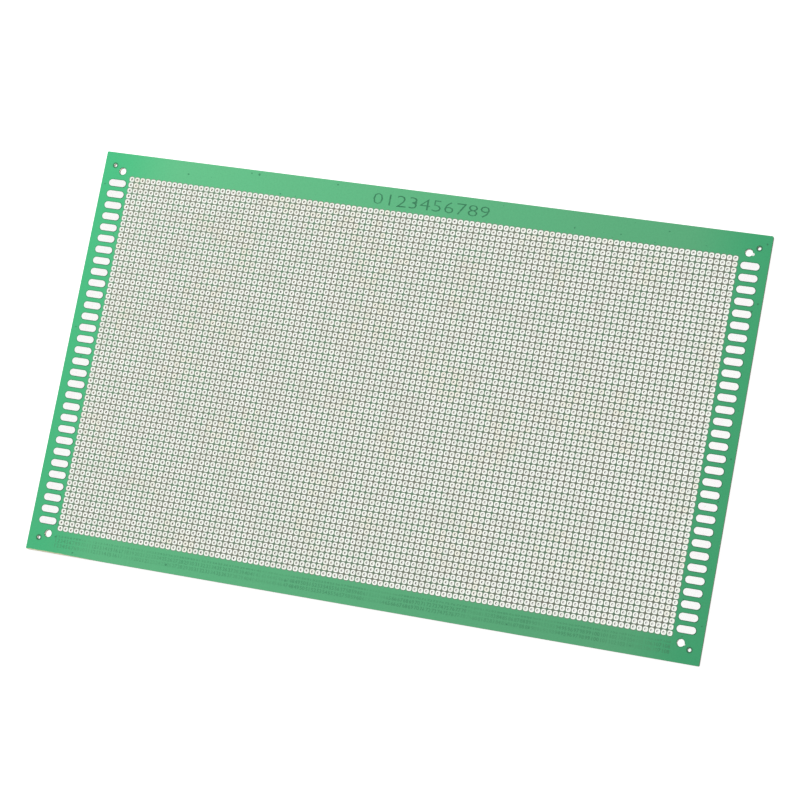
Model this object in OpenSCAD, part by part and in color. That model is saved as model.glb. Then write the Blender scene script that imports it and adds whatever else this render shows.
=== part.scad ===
// Universal soldering board: one drilled laminate sheet that lies flat, underside at z = 0,
// with a row of long tinned contact pads down each short side.
// The round pad about each hole is foil bonded flush with the sheet, so it is part of the sheet.
// The origin is the middle of the underside, X runs along the long side, +Z out of the pad face.

/* [Laminate] */
// Length of the sheet along X
board_w = 300; // [120:1:400]
// Depth of the sheet along Y
board_d = 180; // [80:1:300]
// Thickness of the sheet
board_t = 1.6; // [0.8:0.1:3.2]
// Radius of the sawn corners
corner_r = 0.6; // [0.2:0.1:2]

/* [Pad field] */
// Distance between neighbouring holes, both ways
pitch = 2.54; // [2.5:0.01:3]
// Least distance from a short edge to the first column of holes
side_margin = 14; // [13.5:0.1:30]
// Least distance from a long edge to the first row of holes
end_margin = 11; // [11:0.1:30]
// Diameter of a component hole
hole_d = 1; // [0.7:0.05:1.2]

/* [Contact pads] */
// Length of a contact pad along X
contact_l = 8; // [5:0.1:8.5]
// Width of a contact pad along Y
contact_w = 3; // [2:0.1:4]
// Height of a contact pad above the sheet
contact_t = 0.1; // [0.05:0.01:0.3]
// Distance from the short edge to the outer end of a contact pad
contact_edge = 3.65; // [2.5:0.05:4.5]
// Rows of holes from one contact pad to the next
contact_step = 2; // [2:1:4]

/* [Mounting holes] */
// Diameter of a mounting hole
mount_d = 3.2; // [2.5:0.1:3.6]
// Distance from the short edge to a mounting hole
mount_x = 9; // [8:0.1:10]
// Distance from the long edge to a mounting hole
mount_y = 8.2; // [6.5:0.1:8.3]

/* [Tooling holes] */
// Diameter of a tooling hole
tooling_d = 1.5; // [1:0.1:1.8]
// Distance from the short edge to a tooling hole
tooling_x = 5; // [4:0.1:5.5]
// Distance from the long edge to a tooling hole
tooling_y = 5.9; // [4.5:0.1:6.4]

/* [Hidden] */
// Segments round a drawn circle
$fn = 24;
// Whole columns and rows of holes that the margins leave room for
cols = floor((board_w - 2 * side_margin) / pitch) + 1;
rows = floor((board_d - 2 * end_margin) / pitch) + 1;
field_w = cols * pitch;
field_d = rows * pitch;
// Contact pads down one side, centred on the sheet
contacts = floor((rows - 1) / contact_step);
contact_x = board_w / 2 - contact_edge - contact_l / 2;
// A hairline round the field and between its rows, in both faces of the sheet,
// gives each row of holes a face of its own
hairline = 0.02;

function column_x(c) = (c - (cols - 1) / 2) * pitch;
function row_y(r) = (r - (rows - 1) / 2) * pitch;
function contact_y(i) = (i - (contacts - 1) / 2) * contact_step * pitch;

// Four places, mirrored about the middle of the sheet, at a distance in from its edges
module at_corners(in_x, in_y) {
    for (sx = [-1, 1], sy = [-1, 1])
        translate([sx * (board_w / 2 - in_x), sy * (board_d / 2 - in_y)]) children();
}

// Flat outline of the sheet, with its corner holes
module sheet() {
    difference() {
        union() {
            square([board_w - 2 * corner_r, board_d], center = true);
            square([board_w, board_d - 2 * corner_r], center = true);
            at_corners(corner_r, corner_r) circle(r = corner_r);
        }
        at_corners(mount_x, mount_y) circle(d = mount_d);
        at_corners(tooling_x, tooling_y) circle(d = tooling_d);
    }
}

// The margins, all round the drilled field
module border() {
    linear_extrude(board_t) difference() {
        sheet();
        square([field_w, field_d], center = true);
    }
}

module row_outline(r) {
    translate([0, row_y(r)]) square([field_w - 2 * hairline, pitch - hairline], center = true);
}

module drilled_row(r) {
    linear_extrude(board_t) difference() {
        row_outline(r);
        for (c = [0 : cols - 1]) translate([column_x(c), row_y(r)]) circle(d = hole_d);
    }
}

// What joins the rows to one another and to the margins, half a hairline below both faces
module row_joins() {
    translate([0, 0, hairline / 2]) linear_extrude(board_t - hairline) difference() {
        square([field_w, field_d], center = true);
        for (r = [0 : rows - 1]) row_outline(r);
    }
}

module laminate() {
    color("mediumseagreen") {
        border();
        for (r = [0 : rows - 1]) drilled_row(r);
        row_joins();
    }
}

module contact_pad() {
    straight = contact_l - contact_w;
    linear_extrude(contact_t) {
        square([straight, contact_w], center = true);
        for (end = [-1, 1]) translate([end * straight / 2, 0]) circle(d = contact_w);
    }
}

module contact_row(side) {
    color("gainsboro") for (i = [0 : contacts - 1])
        translate([side * contact_x, contact_y(i), board_t]) contact_pad();
}

module contacts_left() {
    contact_row(-1);
}

module contacts_right() {
    contact_row(1);
}

laminate();
contacts_left();
contacts_right();
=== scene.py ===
import math
import random

import bpy
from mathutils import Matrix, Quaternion, Vector


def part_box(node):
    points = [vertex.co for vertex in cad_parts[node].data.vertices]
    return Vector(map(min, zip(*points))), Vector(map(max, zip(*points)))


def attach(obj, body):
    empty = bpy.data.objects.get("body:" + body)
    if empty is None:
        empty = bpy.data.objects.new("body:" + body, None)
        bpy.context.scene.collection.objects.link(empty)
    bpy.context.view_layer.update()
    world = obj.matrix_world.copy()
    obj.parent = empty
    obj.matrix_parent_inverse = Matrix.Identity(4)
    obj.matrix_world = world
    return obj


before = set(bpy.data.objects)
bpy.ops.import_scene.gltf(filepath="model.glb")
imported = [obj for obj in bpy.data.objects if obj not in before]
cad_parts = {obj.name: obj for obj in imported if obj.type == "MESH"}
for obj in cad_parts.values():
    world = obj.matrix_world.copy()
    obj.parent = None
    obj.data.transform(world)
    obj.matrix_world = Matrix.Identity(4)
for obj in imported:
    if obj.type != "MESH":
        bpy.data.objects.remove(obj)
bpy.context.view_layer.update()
bpy.ops.object.select_all(action="DESELECT")

# Drilled sheet
# One sawn sheet of pressed laminate with thousands of drilled holes. Green solder mask, printed
# on its upper side, holds some painted sheen that fades towards both ends. It is dark where no
# foil lies below and in a ring round each tooling hole, has painted shade at the rims of the
# mounting holes, is chipped by two mounting holes and worn off part of the front edge. The cut
# edges and the underside are tan, and the bores a paler tan that is partly painted light.
MM = 0.001
PITCH = 2.54
COLUMNS = 108
ROWS = 63
PAD_RADIUS = 1.115
CONTACTS = 31
CONTACT_STEP = 2 * PITCH
CONTACT_LENGTH = 8.0
CONTACT_WIDTH = 3.0
MOUNTING_HOLE = (141.0, 81.8)
MOUNTING_RADIUS = 1.6
TOOLING_HOLE = (145.0, 84.1)
TOOLING_RADIUS = 0.75
# Upright faces further out than this are sawn edges, and all others are bores
SAWN_EDGES = (146.5, 86.5)
# A face whose normal rises more than this points up, and one between this and minus this is
# upright
RISE_LIMIT = 0.5

# Darker rings in the mask: how far out from the edge of its pad or hole each starts to fade and
# ends, and how strong it is. Round the pads the mask lies on bare laminate, and round the mounting
# holes the ring is painted shade at the rim.
PAD_RING = (0.22, 0.44, 0.8)
TOOLING_RING = (0.5, 0.65, 1.0)
# Painted shade at the rim of each mounting hole
MOUNTING_RIM_SHADE = (0.2, 0.4, 0.7)

# The mask's green, partly painted sheen: paler across the middle, more vivid towards both ends
MASK_GREEN_AND_SHEEN = (0.095, 0.41, 0.19)
MASK_AT_ENDS = (0.040, 0.385, 0.160)
ENDS_FADE = (112.0, 147.0)
MASK_CLOUD = (0.075, 0.46, 0.21)
# Darker mask over bare laminate, also used as painted shade at the mounting holes' rims
MASK_OVER_BARE_AND_RIM_SHADE = (0.022, 0.17, 0.075)
MASK_BETWEEN_PADS = (0.128, 0.215, 0.138)
MASK_THIN_BETWEEN_PADS = (0.182, 0.198, 0.152)
MASK_ROUGHNESS = 0.34
MASK_SHEEN = 0.5
CHIP_PALE = (0.93, 0.93, 0.90)
CHIP_EDGE = 0.1
# Middle and radius of each chip
CHIPS = ((142.8, 81.3, 0.7), (142.5, -82.3, 0.5))
FRONT_EDGE = 90.0
WORN_STRETCH = (-140.0, -112.0)
WORN_DEPTH = 0.75
WORN_TAN = (0.52, 0.51, 0.34)

LAMINATE_TAN = (0.66, 0.61, 0.46)
FIBRE_TAN = (0.55, 0.50, 0.36)
# The bores' laminate, paler than the cut edges: partly painted light in the bores
BORE_TAN_AND_PAINTED_LIGHT = (0.88, 0.84, 0.78)
LAMINATE_ROUGHNESS = 0.8

# Patches of noise: cells a millimetre, the levels that they fade in between, their strength
CLOUDS = {"scale": 0.035, "start": 0.3, "end": 0.7, "high": 0.10}
MOTTLE = {"scale": 1.3, "start": 0.35, "end": 0.75, "high": 0.10}
SPECKS = {"scale": 0.55, "start": 0.81, "end": 0.86, "high": 0.8, "detail": 0.0}
BLOTCHES = {"scale": 0.18, "start": 0.35, "end": 0.65}
FIBRES = {"scale": 2.2, "start": 0.3, "end": 0.7, "detail": 4.0}
RAGGED_SCALE = 0.5
RIPPLE = {"scale": 0.9, "strength": 0.05}
BUMP_DEPTH = 0.2


class Pattern:
    """Short calls for the nodes that a pattern is made of, in one node tree."""

    def __init__(self, tree):
        self.tree = tree

    def node(self, kind, **settings):
        made = self.tree.nodes.new(kind)
        for setting, value in settings.items():
            setattr(made, setting, value)
        return made

    def join(self, value, socket):
        """Links a socket to another one, or gives it a number or a colour."""
        if isinstance(value, bpy.types.NodeSocket):
            self.tree.links.new(value, socket)
        elif socket.type == "RGBA":
            socket.default_value = (*value, 1.0)
        else:
            socket.default_value = value

    def math(self, operation, *values):
        made = self.node("ShaderNodeMath", operation=operation)
        for value, socket in zip(values, made.inputs):
            self.join(value, socket)
        return made.outputs[0]

    def off_middle(self, value):
        """How far a place lies from the middle, on either side."""
        return self.math("ABSOLUTE", value)

    def both(self, first, second):
        """Where two masks overlap."""
        return self.math("MULTIPLY", first, second)

    def either(self, first, second):
        """The stronger of two masks."""
        return self.math("MAXIMUM", first, second)

    def millimetres(self):
        """Object coordinates in millimetres."""
        place = self.node("ShaderNodeTexCoord").outputs["Object"]
        scaled = self.node("ShaderNodeVectorMath", operation="SCALE")
        self.join(place, scaled.inputs[0])
        self.join(1 / MM, scaled.inputs["Scale"])
        return scaled.outputs["Vector"]

    def split(self, vector):
        made = self.node("ShaderNodeSeparateXYZ")
        self.join(vector, made.inputs[0])
        return made.outputs

    def merge(self, x, y):
        """A place on the sheet, from its two distances."""
        made = self.node("ShaderNodeCombineXYZ")
        self.join(x, made.inputs["X"])
        self.join(y, made.inputs["Y"])
        return made.outputs[0]

    def distance(self, x, y):
        """Length of the way x to the side and y to the back."""
        made = self.node("ShaderNodeVectorMath", operation="LENGTH")
        self.join(self.merge(x, y), made.inputs[0])
        return made.outputs["Value"]

    def fade(self, value, start, end, low=0.0, high=1.0):
        """Goes smoothly from low to high while the value goes from start to end."""
        made = self.node("ShaderNodeMapRange", interpolation_type="SMOOTHSTEP")
        for given, socket in zip((value, start, end, low, high), made.inputs):
            self.join(given, socket)
        return made.outputs[0]

    def noise(self, vector, scale, detail=2.0):
        made = self.node("ShaderNodeTexNoise")
        self.join(vector, made.inputs["Vector"])
        self.join(scale, made.inputs["Scale"])
        self.join(detail, made.inputs["Detail"])
        return made.outputs["Fac"]

    def patches(self, vector, scale, start, end, low=0.0, high=1.0, detail=2.0):
        """Noise that fades from low to high between two of its levels."""
        return self.fade(self.noise(vector, scale, detail), start, end, low, high)

    def blend(self, share, first, second):
        """The first colour, or as much of the second one as the share says."""
        made = self.node("ShaderNodeMix", data_type="RGBA")
        self.join(share, made.inputs["Factor"])
        colours = [s for s in made.inputs if s.type == "RGBA"]
        for colour, socket in zip((first, second), colours):
            self.join(colour, socket)
        return next(s for s in made.outputs if s.type == "RGBA")

    def effect(self, group, **values):
        """Places a shared node group, and gives its outputs by name."""
        made = self.node("ShaderNodeGroup")
        made.node_tree = group
        for socket, value in values.items():
            self.join(value, made.inputs[socket])
        return made.outputs


class Shading(Pattern):
    """A new material, whose pattern goes into its one Principled shader."""

    def __init__(self, name):
        self.material = bpy.data.materials.new(name)
        self.material.use_nodes = True
        super().__init__(self.material.node_tree)
        self.surface = self.tree.nodes["Principled BSDF"]

    def set(self, **sockets):
        for socket, value in sockets.items():
            self.join(value, self.surface.inputs[socket.replace("_", " ")])

    def ripple(self, place, scale, strength):
        """Low waves in the surface, of so many cells a millimetre."""
        made = self.node("ShaderNodeBump")
        self.join(strength, made.inputs["Strength"])
        self.join(BUMP_DEPTH * MM, made.inputs["Distance"])
        self.join(self.noise(place, scale), made.inputs["Height"])
        self.set(Normal=made.outputs["Normal"])


def shared_effect(name, inputs, outputs, pattern):
    """A node group with named sockets, whose outputs a function works out from its inputs."""
    tree = bpy.data.node_groups.new(name, "ShaderNodeTree")
    for socket, kind in inputs.items():
        tree.interface.new_socket(socket, in_out="INPUT", socket_type=kind)
    for socket, kind in outputs.items():
        tree.interface.new_socket(socket, in_out="OUTPUT", socket_type=kind)
    inside = Pattern(tree)
    given = inside.node("NodeGroupInput").outputs
    made = inside.node("NodeGroupOutput").inputs
    for socket, value in pattern(inside, given).items():
        inside.join(value, made[socket])
    return tree


def uneven_mask(pattern, given):
    """Solder mask a little uneven in thickness, with fine dark specks."""
    place = given["Place"]
    green = pattern.blend(pattern.patches(place, **CLOUDS), given["Mask"], MASK_CLOUD)
    green = pattern.blend(pattern.patches(place, **MOTTLE), green, given["Dark"])
    green = pattern.blend(pattern.patches(place, **SPECKS), green, given["Dark"])
    return {"Color": green}


mask_effect = shared_effect(
    "uneven_mask",
    {"Place": "NodeSocketVector", "Mask": "NodeSocketColor", "Dark": "NodeSocketColor"},
    {"Color": "NodeSocketColor"},
    uneven_mask,
)


def contact_middle():
    """Distance of the contact pads from the middle of the sheet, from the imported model."""
    low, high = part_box("contacts_right")
    return (low.x + high.x) / 2 / MM


def off_corner_hole(shading, x, y, hole):
    """Distance from the nearest of four holes that mirror each other about the middle."""
    away_x = shading.math("SUBTRACT", shading.off_middle(x), hole[0])
    away_y = shading.math("SUBTRACT", shading.off_middle(y), hole[1])
    return shading.distance(away_x, away_y)


def off_grid(shading, value, count, step):
    """Distance along one axis from the nearest of count places, step apart, about the middle."""
    last = (count - 1) / 2 * step
    shifted = shading.math("ADD", value, last)
    nearest = shading.math("SNAP", shading.math("ADD", shifted, step / 2), step)
    nearest = shading.math("MINIMUM", shading.math("MAXIMUM", nearest, 0.0), 2 * last)
    return shading.math("SUBTRACT", shifted, nearest)


def off_contact(shading, x, y):
    """Distance from the straight middle line of the nearest contact pad."""
    along = shading.math("SUBTRACT", shading.off_middle(x), contact_middle())
    straight = (CONTACT_LENGTH - CONTACT_WIDTH) / 2
    past_straight = shading.math("SUBTRACT", shading.off_middle(along), straight)
    past_straight = shading.math("MAXIMUM", past_straight, 0.0)
    return shading.distance(past_straight, off_grid(shading, y, CONTACTS, CONTACT_STEP))


def ring(shading, distance, radius, inner, outer, share):
    """Full up to the inner limit, and fading out towards the outer one."""
    return shading.fade(distance, radius + inner, radius + outer, share, 0.0)


def over_bare_laminate(shading, x, y):
    """Darker mask: no foil below round the contact pads, a dark ring round each tooling hole, and
    painted shade at each mounting hole's rim.
    """
    by_contact = ring(shading, off_contact(shading, x, y), CONTACT_WIDTH / 2, *PAD_RING)
    to_tooling = off_corner_hole(shading, x, y, TOOLING_HOLE)
    by_tooling = ring(shading, to_tooling, TOOLING_RADIUS, *TOOLING_RING)
    # Painted shade at the rim of each mounting hole
    to_mounting = off_corner_hole(shading, x, y, MOUNTING_HOLE)
    shade_at_mounting_rims = ring(shading, to_mounting, MOUNTING_RADIUS, *MOUNTING_RIM_SHADE)
    return shading.either(shading.either(by_contact, by_tooling), shade_at_mounting_rims)


def among_pads(shading, x, y):
    """The gaps between the round pads, and a ring round the outermost ones."""
    to_pad = shading.distance(
        off_grid(shading, x, COLUMNS, PITCH), off_grid(shading, y, ROWS, PITCH)
    )
    by_pad = ring(shading, to_pad, PAD_RADIUS, *PAD_RING)
    inside_x = shading.math("LESS_THAN", shading.off_middle(x), (COLUMNS - 1) / 2 * PITCH)
    inside_y = shading.math("LESS_THAN", shading.off_middle(y), (ROWS - 1) / 2 * PITCH)
    return shading.either(by_pad, shading.both(inside_x, inside_y))


def chipped_mask(shading, x, y, green):
    """Small pale chips beside two of the mounting holes."""
    for chip_x, chip_y, radius in CHIPS:
        to_chip = shading.distance(
            shading.math("SUBTRACT", x, chip_x), shading.math("SUBTRACT", y, chip_y)
        )
        chipped = shading.fade(to_chip, radius - CHIP_EDGE, radius, 1.0, 0.0)
        green = shading.blend(chipped, green, CHIP_PALE)
    return green


def worn_mask(shading, place, x, y, green):
    """Mask rubbed off the front edge in ragged bits, towards its left end."""
    depth = shading.fade(x, *WORN_STRETCH, WORN_DEPTH, 0.0)
    depth = shading.math("MULTIPLY", depth, shading.noise(place, RAGGED_SCALE))
    from_edge = shading.math("ADD", y, FRONT_EDGE)
    worn = shading.math("LESS_THAN", from_edge, depth)
    return shading.blend(worn, green, WORN_TAN)


def printed_face(shading, place, x, y):
    """The mask as it looks from above."""
    # Painted sheen across the middle of the sheet, fading out towards both ends
    towards_end = shading.fade(shading.off_middle(x), *ENDS_FADE)
    green = shading.effect(
        mask_effect,
        Place=place,
        Mask=shading.blend(towards_end, MASK_GREEN_AND_SHEEN, MASK_AT_ENDS),
        Dark=MASK_OVER_BARE_AND_RIM_SHADE,
    )["Color"]
    # Darker rings round the pads and tooling holes, and painted shade round the mounting holes'
    # rims
    green = shading.blend(over_bare_laminate(shading, x, y), green, MASK_OVER_BARE_AND_RIM_SHADE)
    blotch = shading.patches(place, **BLOTCHES)
    gap = shading.blend(blotch, MASK_BETWEEN_PADS, MASK_THIN_BETWEEN_PADS)
    green = shading.blend(among_pads(shading, x, y), green, gap)
    green = chipped_mask(shading, x, y, green)
    return worn_mask(shading, place, x, y, green)


def bare_face(shading, place, x, y, upright):
    """Pressed laminate with its fibres, and in the bores a paler tan that is partly painted light.
    """
    tan = shading.blend(shading.patches(place, **FIBRES), LAMINATE_TAN, FIBRE_TAN)
    at_edge = shading.either(
        shading.math("GREATER_THAN", shading.off_middle(x), SAWN_EDGES[0]),
        shading.math("GREATER_THAN", shading.off_middle(y), SAWN_EDGES[1]),
    )
    in_bore = shading.both(upright, shading.math("SUBTRACT", 1.0, at_edge))
    return shading.blend(in_bore, tan, BORE_TAN_AND_PAINTED_LIGHT)


def masked_laminate():
    """Green mask on the faces that point up, and tan laminate on all others."""
    shading = Shading("masked_laminate")
    place = shading.millimetres()
    x, y, _ = shading.split(place)
    normal = shading.node("ShaderNodeNewGeometry").outputs["True Normal"]
    rise = shading.split(normal)["Z"]
    up = shading.math("GREATER_THAN", rise, RISE_LIMIT)
    upright = shading.math("LESS_THAN", shading.math("ABSOLUTE", rise), RISE_LIMIT)
    bare = bare_face(shading, place, x, y, upright)
    shading.set(Base_Color=shading.blend(up, bare, printed_face(shading, place, x, y)))
    shading.set(Roughness=shading.fade(up, 0.0, 1.0, LAMINATE_ROUGHNESS, MASK_ROUGHNESS))
    shading.set(Specular_IOR_Level=MASK_SHEEN)
    shading.ripple(place, **RIPPLE)
    return shading.material


def coat(obj, material):
    """Gives a piece one material all over."""
    obj.data.materials.clear()
    obj.data.materials.append(material)


coat(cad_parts["laminate"], masked_laminate())

# Contact pads
# Long pads of copper foil down both short sides, tinned in a solder bath and blown level with hot
# air, so they are bright, slightly uneven and marked here and there.
TIN_BRIGHT = (0.955, 0.96, 0.945)
TIN_PINK = (0.965, 0.925, 0.94)
TIN_STAIN = (0.70, 0.64, 0.58)
TINTS = {"scale": 0.25, "start": 0.4, "end": 0.65}
PITS = {"scale": 1.6, "start": 0.76, "end": 0.82, "high": 0.5, "detail": 0.0}
GLOSS = {"scale": 0.8, "start": 0.3, "end": 0.7, "low": 0.28, "high": 0.42}
SCRATCHES = {"stretch": (1.4, 0.25), "scale": 0.9, "level": 0.66, "width": 0.012, "share": 0.5}
CONTACT_RIPPLE = {"scale": 0.6, "strength": 0.25}


def levelled_solder(pattern, given):
    """Solder levelled by hot air: patches of another tint, fine pits and an uneven gloss."""
    place = given["Place"]
    tin = pattern.blend(pattern.patches(place, **TINTS), given["Tin"], given["Patch"])
    tin = pattern.blend(pattern.patches(place, **PITS), tin, TIN_STAIN)
    return {"Color": tin, "Roughness": pattern.patches(place, **GLOSS)}


solder_effect = shared_effect(
    "levelled_solder",
    {"Place": "NodeSocketVector", "Tin": "NodeSocketColor", "Patch": "NodeSocketColor"},
    {"Color": "NodeSocketColor", "Roughness": "NodeSocketFloat"},
    levelled_solder,
)


def fine_scratches(shading, place):
    """Thin lines along one level of a noise that is drawn out across the pads."""
    x, y, _ = shading.split(place)
    drawn_out = shading.merge(
        shading.math("MULTIPLY", x, SCRATCHES["stretch"][0]),
        shading.math("MULTIPLY", y, SCRATCHES["stretch"][1]),
    )
    level = shading.noise(drawn_out, SCRATCHES["scale"], detail=0.0)
    off_level = shading.math("ABSOLUTE", shading.math("SUBTRACT", level, SCRATCHES["level"]))
    return shading.fade(off_level, 0.0, SCRATCHES["width"], SCRATCHES["share"], 0.0)


def tinned_contact():
    """Bright solder with pinkish patches and a few fine scratches."""
    shading = Shading("tinned_contact")
    place = shading.millimetres()
    solder = shading.effect(solder_effect, Place=place, Tin=TIN_BRIGHT, Patch=TIN_PINK)
    scratch = fine_scratches(shading, place)
    shading.set(Base_Color=shading.blend(scratch, solder["Color"], TIN_STAIN), Metallic=1.0)
    shading.set(Roughness=solder["Roughness"])
    shading.ripple(place, **CONTACT_RIPPLE)
    return shading.material


contact_tin = tinned_contact()
for side in ("contacts_left", "contacts_right"):
    coat(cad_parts[side], contact_tin)

# Round pads
# A ring of copper foil about each drilled hole, with softened corners, under a low bead of
# solder. The hot air leaves each bead a little different, and some are creamy rather than white.
SHEET_TOP = 1.6
BORE_RADIUS = 0.5
SIDES = 12
CORNER_REACH = 0.1
CORNER_GROWTH = 1.12
BEAD_RADIUS = 0.85
BEAD_HEIGHT = 0.05
BEAD_SHIFT = 0.05
BEAD_SWELL = (-0.4, 0.3)
SHARPEST_SMOOTH_ANGLE = 45
BANDS = ("front", "middle", "rear")

TIN_PAD = (0.98, 1.0, 0.94)
TIN_GREY = (0.91, 0.935, 0.86)
TIN_CREAM = (0.95, 0.93, 0.79)
CREAM_AREAS = {"scale": 0.03, "start": 0.48, "end": 0.62, "detail": 1.0}
# Share of creamy pads outside these areas and in the middle of them
CREAM_SHARE = (0.05, 0.75)
# How creamy a pad gets at most, and the draw that makes it so
MOST_CREAM = 0.7
MOST_CREAM_DRAW = 0.8


def creamy_pads(shading, place):
    """How creamy each pad is: a few are by chance, and most are in some parts of the field."""
    x, y, _ = shading.split(place)
    column = shading.math("SNAP", shading.math("ADD", x, COLUMNS / 2 * PITCH), PITCH)
    row = shading.math("SNAP", shading.math("ADD", y, ROWS / 2 * PITCH), PITCH)
    pad = shading.merge(column, row)
    chance = shading.node("ShaderNodeTexWhiteNoise", noise_dimensions="2D")
    shading.join(pad, chance.inputs["Vector"])
    draw = chance.outputs["Value"]
    limit = shading.fade(shading.patches(pad, **CREAM_AREAS), 0.0, 1.0, *CREAM_SHARE)
    cream = shading.math("MULTIPLY", shading.math("LESS_THAN", draw, limit), draw)
    return shading.fade(cream, 0.0, MOST_CREAM_DRAW, 0.0, MOST_CREAM)


def tinned_pad():
    """Solder that differs a little from pad to pad."""
    shading = Shading("tinned_pad")
    place = shading.millimetres()
    solder = shading.effect(solder_effect, Place=place, Tin=TIN_PAD, Patch=TIN_GREY)
    cream = creamy_pads(shading, place)
    shading.set(Base_Color=shading.blend(cream, solder["Color"], TIN_CREAM), Metallic=1.0)
    shading.set(Roughness=solder["Roughness"])
    return shading.material


def select_vertices(obj, wanted):
    """In edit mode, selects just the vertices whose place passes a test."""
    bpy.ops.mesh.select_all(action="DESELECT")
    bpy.ops.object.mode_set(mode="OBJECT")
    for vertex in obj.data.vertices:
        vertex.select = wanted(vertex.co)
    bpy.ops.object.mode_set(mode="EDIT")


def one_pad(name, place):
    """The first pad of a band: three rings of vertices, bridged into a closed bead."""
    bpy.ops.mesh.primitive_circle_add(
        vertices=SIDES, radius=PAD_RADIUS * MM, rotation=(0, 0, math.pi / SIDES), location=(0, 0, 0)
    )
    pad = bpy.context.object
    pad.name = name
    bpy.ops.object.transform_apply()
    bpy.ops.object.mode_set(mode="EDIT")
    select_vertices(pad, lambda co: abs(abs(co.x) - abs(co.y)) < CORNER_REACH * MM)
    bpy.ops.transform.resize(value=(CORNER_GROWTH, CORNER_GROWTH, 1))
    bpy.ops.mesh.select_all(action="SELECT")
    to_bead = BEAD_RADIUS / PAD_RADIUS
    bpy.ops.mesh.extrude_region_move(TRANSFORM_OT_translate={"value": (0, 0, BEAD_HEIGHT * MM)})
    bpy.ops.transform.resize(value=(to_bead, to_bead, 1))
    to_bore = BORE_RADIUS / math.cos(math.pi / SIDES) / BEAD_RADIUS
    bpy.ops.mesh.extrude_region_move(TRANSFORM_OT_translate={"value": (0, 0, -BEAD_HEIGHT * MM)})
    bpy.ops.transform.resize(value=(to_bore, to_bore, 1))
    select_vertices(pad, lambda co: co.z < BEAD_HEIGHT * MM / 2)
    bpy.ops.mesh.bridge_edge_loops()
    bpy.ops.mesh.select_all(action="SELECT")
    bpy.ops.mesh.normals_make_consistent(inside=False)
    bpy.ops.transform.translate(value=place)
    bpy.ops.object.mode_set(mode="OBJECT")
    return pad


def repeat(obj, count, step):
    """Copies the mesh in a straight line, each copy a step further."""
    line = obj.modifiers.new("line", "ARRAY")
    line.count = count
    line.use_relative_offset = False
    line.use_constant_offset = True
    line.constant_offset_displace = step
    bpy.ops.object.modifier_apply(modifier=line.name)


def uneven_beads(obj, per_pad, seed):
    """Moves the crown of each bead a little sideways and in height."""
    luck = random.Random(seed)
    vertices = obj.data.vertices
    for first in range(0, len(vertices), per_pad):
        shift = Vector((luck.uniform(-1, 1), luck.uniform(-1, 1), 0)) * BEAD_SHIFT * MM
        shift.z = luck.uniform(*BEAD_SWELL) * BEAD_HEIGHT * MM
        for vertex in vertices[first:first + per_pad]:
            if vertex.co.z > (SHEET_TOP + BEAD_HEIGHT / 2) * MM:
                vertex.co += shift


pad_tin = tinned_pad()
rows_in_band = ROWS // len(BANDS)
for number, band in enumerate(BANDS):
    first_x = -(COLUMNS - 1) / 2 * PITCH
    first_y = (number * rows_in_band - (ROWS - 1) / 2) * PITCH
    pads = one_pad(f"round_pads_{band}", Vector((first_x, first_y, SHEET_TOP)) * MM)
    per_pad = len(pads.data.vertices)
    repeat(pads, COLUMNS, (PITCH * MM, 0, 0))
    repeat(pads, rows_in_band, (0, PITCH * MM, 0))
    uneven_beads(pads, per_pad, number)
    bpy.ops.object.shade_smooth_by_angle(angle=math.radians(SHARPEST_SMOOTH_ANGLE))
    coat(pads, pad_tin)
    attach(pads, "root")
    bpy.ops.object.select_all(action="DESELECT")

# Numbers in the margins
# Plain figures etched out of the foil below the mask, so they show as darker green strokes: one
# line behind the field, and three fine and faint lines of counting numbers in front of it.
WORD_GAP = 0.35
CURVE_STEPS = 2
TEXT_DEPTH = 0.5
STROKE_THICKNESS = 0.015
MASK_OVER_FOIL_EDGE = (0.020, 0.150, 0.066)
FIGURE_ROUGHNESS = 0.36
FAINT_SPOTS = {"scale": 0.4, "start": 0.5, "end": 0.75, "high": 0.4}
FAINT_STRETCHES = {"scale": 0.09, "start": 0.35, "end": 0.65, "low": 0.35, "high": 0.80}


def counted(first, last):
    """The whole numbers from first to last, as one line of figures."""
    return " ".join(str(number) for number in range(first, last + 1))


REAR_MARK = {
    "text": "0123456789", "height": 5.0, "middle": (2.2, 84.4), "width": 52.3, "thinned": 0.016,
}
COUNT = {"text": counted(1, COLUMNS), "width": 274, "thinned": 0.0}
FRONT_MARKS = (
    {**COUNT, "height": 0.8, "middle": (0, -82.25)},
    {**COUNT, "height": 1.6, "middle": (0, -84.1)},
    {**COUNT, "height": 1.6, "middle": (0, -86.3)},
)


def etched_figures():
    """Dark mask where the foil is etched away, fainter here and there, most so in front."""
    shading = Shading("mask_over_etched_foil")
    place = shading.millimetres()
    _, y, _ = shading.split(place)
    in_front = shading.math("LESS_THAN", y, 0.0)
    faint = shading.both(in_front, shading.patches(place, **FAINT_STRETCHES))
    faint = shading.either(shading.patches(place, **FAINT_SPOTS), faint)
    mask = shading.effect(
        mask_effect, Place=place, Mask=MASK_OVER_FOIL_EDGE, Dark=MASK_OVER_BARE_AND_RIM_SHADE
    )["Color"]
    shading.set(Base_Color=shading.blend(faint, mask, MASK_GREEN_AND_SHEEN))
    shading.set(Roughness=FIGURE_ROUGHNESS, Specular_IOR_Level=MASK_SHEEN)
    return shading.material


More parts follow.
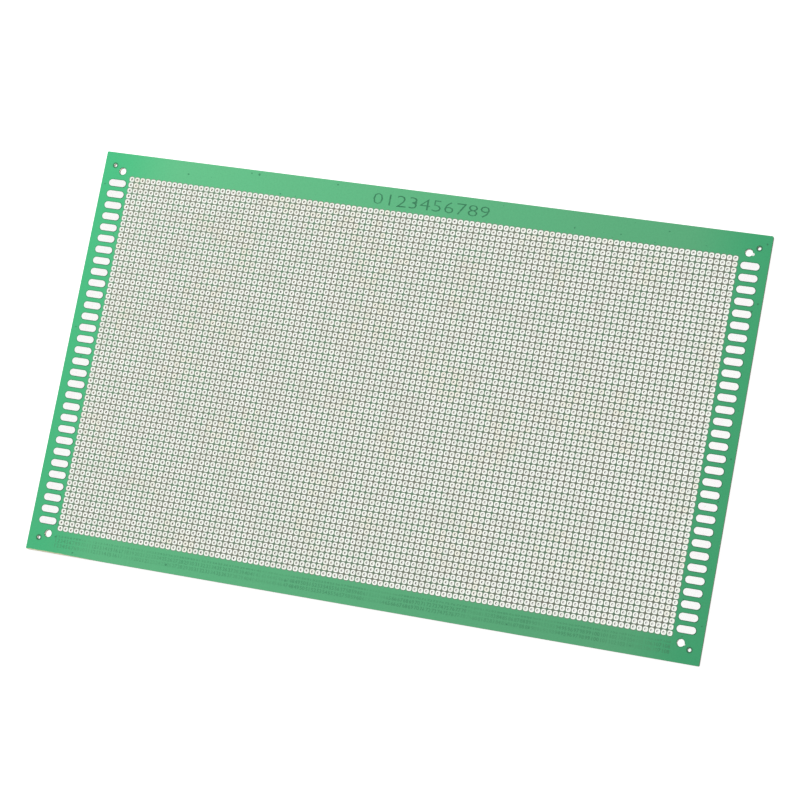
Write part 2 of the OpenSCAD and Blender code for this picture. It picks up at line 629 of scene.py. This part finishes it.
def written(text, height, middle, width, thinned):
    """One line of figures, scaled to its height and width and laid on the sheet."""
    bpy.ops.object.text_add(location=(0, 0, 0))
    line = bpy.context.object
    line.data.body = text
    line.data.align_x = "CENTER"
    line.data.align_y = "CENTER"
    line.data.resolution_u = CURVE_STEPS
    line.data.offset = -thinned
    line.data.space_word = WORD_GAP
    line.data.extrude = TEXT_DEPTH
    bpy.ops.object.convert(target="MESH")
    line = bpy.context.object
    corners = [Vector(c) for c in line.bound_box]
    low = Vector(map(min, zip(*corners)))
    high = Vector(map(max, zip(*corners)))
    size = high - low
    centre = (high + low) / 2
    line.location = Vector((*middle, SHEET_TOP + STROKE_THICKNESS / 2)) * MM
    line.scale = Vector((width / size.x, height / size.y, STROKE_THICKNESS / size.z)) * MM
    for vertex in line.data.vertices:
        vertex.co -= centre
    bpy.ops.object.transform_apply()
    return line


lines = [written(**mark) for mark in (REAR_MARK, *FRONT_MARKS)]
bpy.ops.object.select_all(action="DESELECT")
for line in lines:
    line.select_set(True)
bpy.context.view_layer.objects.active = lines[0]
bpy.ops.object.join()
numbers = bpy.context.object
numbers.name = "margin_numbers"
coat(numbers, etched_figures())
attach(numbers, "root")
bpy.ops.object.select_all(action="DESELECT")

# Floor
# A wide sheet of white paper under the board. It is nearly white to the camera and in bright
# metal, with painted shade below the drilled field, and the board's shadow still falls on it.
FLOOR_SIZE = 6.0
FLOOR_GAP = 0.05
FLOOR_GREY = (0.3, 0.3, 0.3)
FLOOR_ROUGHNESS = 0.9
FLOOR_GLOW = 0.94
WHITE = (1.0, 1.0, 1.0)
PAINTED_SHADE_DEPTH = 0.22


def seen_directly(pattern):
    """1 for what the camera sees, also in metal or through glass, and 0 for light that falls."""
    rays = pattern.node("ShaderNodeLightPath").outputs
    seen = pattern.either(rays["Is Camera Ray"], rays["Is Glossy Ray"])
    return pattern.either(seen, rays["Is Transmission Ray"])


def white_paper():
    """Grey paper for the light that falls on it, with a glow where it is seen, dimmed below the
    drilled field as painted shade.
    """
    paper = Shading("white_paper")
    x, y, _ = paper.split(paper.millimetres())
    # Painted shade: the glow is lower below the drilled field
    below_columns = paper.math("LESS_THAN", paper.off_middle(x), COLUMNS / 2 * PITCH)
    below_rows = paper.math("LESS_THAN", paper.off_middle(y), ROWS / 2 * PITCH)
    painted_shade_below_field = paper.math("MULTIPLY", paper.both(below_columns, below_rows), PAINTED_SHADE_DEPTH)
    glow = paper.math("MULTIPLY", paper.math("SUBTRACT", 1.0, painted_shade_below_field), FLOOR_GLOW)
    paper.set(Base_Color=FLOOR_GREY, Roughness=FLOOR_ROUGHNESS, Specular_IOR_Level=0.0)
    paper.set(Emission_Color=WHITE)
    paper.set(Emission_Strength=paper.math("MULTIPLY", seen_directly(paper), glow))
    return paper.material


bpy.ops.mesh.primitive_plane_add(size=FLOOR_SIZE, location=(0, 0, -FLOOR_GAP * MM))
floor = bpy.context.object
floor.name = "floor"
coat(floor, white_paper())

# Light
# A soft box low behind the left end, which lights that end most, and an even pale room. The
# reflected sheen on the mask and the tin comes from the room alone, so no lamp glares in them from
# any side; the mask's colour also holds some painted sheen.
KEY_PLACE = Vector((-0.93, 0.59, 0.47))
KEY_AIM = Vector((0.0, 0.0, 0.0))
KEY_SIZE = 0.45
KEY_POWER = 28.6
ROOM_LEVEL = 0.25

soft_box = bpy.data.lights.new("soft_box", "AREA")
soft_box.shape = "SQUARE"
soft_box.size = KEY_SIZE
soft_box.energy = KEY_POWER
key = bpy.data.objects.new("soft_box", soft_box)
key.location = KEY_PLACE
key.rotation_mode = "QUATERNION"
key.rotation_quaternion = (KEY_AIM - KEY_PLACE).to_track_quat("-Z", "Y")
key.visible_glossy = False
bpy.context.scene.collection.objects.link(key)

room = bpy.data.worlds.new("room")
bpy.context.scene.world = room
room.use_nodes = True
walls = Pattern(room.node_tree)
sky = room.node_tree.nodes["Background"].inputs
walls.join(WHITE, sky["Color"])
lit = walls.math("MULTIPLY_ADD", seen_directly(walls), 1.0 - ROOM_LEVEL, ROOM_LEVEL)
walls.join(lit, sky["Strength"])

# Camera
# It looks steeply down from the front right and is rolled, as the photographer's was.
CAMERA_PLACE = Vector((334.8, -146.8, 1095.3)) * MM
CAMERA_AIM = Vector((4.85, -0.74, 1.6)) * MM
CAMERA_ROLL = -56.4
CAMERA_LENS = 122.25

camera = bpy.data.objects.new("camera", bpy.data.cameras.new("camera"))
camera.data.lens = CAMERA_LENS
camera.location = CAMERA_PLACE
camera.rotation_mode = "QUATERNION"
level_view = (CAMERA_AIM - CAMERA_PLACE).to_track_quat("-Z", "Y")
camera.rotation_quaternion = level_view @ Quaternion((0, 0, 1), math.radians(CAMERA_ROLL))
bpy.context.scene.collection.objects.link(camera)
bpy.context.scene.camera = camera
bpy.context.scene.view_settings.view_transform = "Standard"
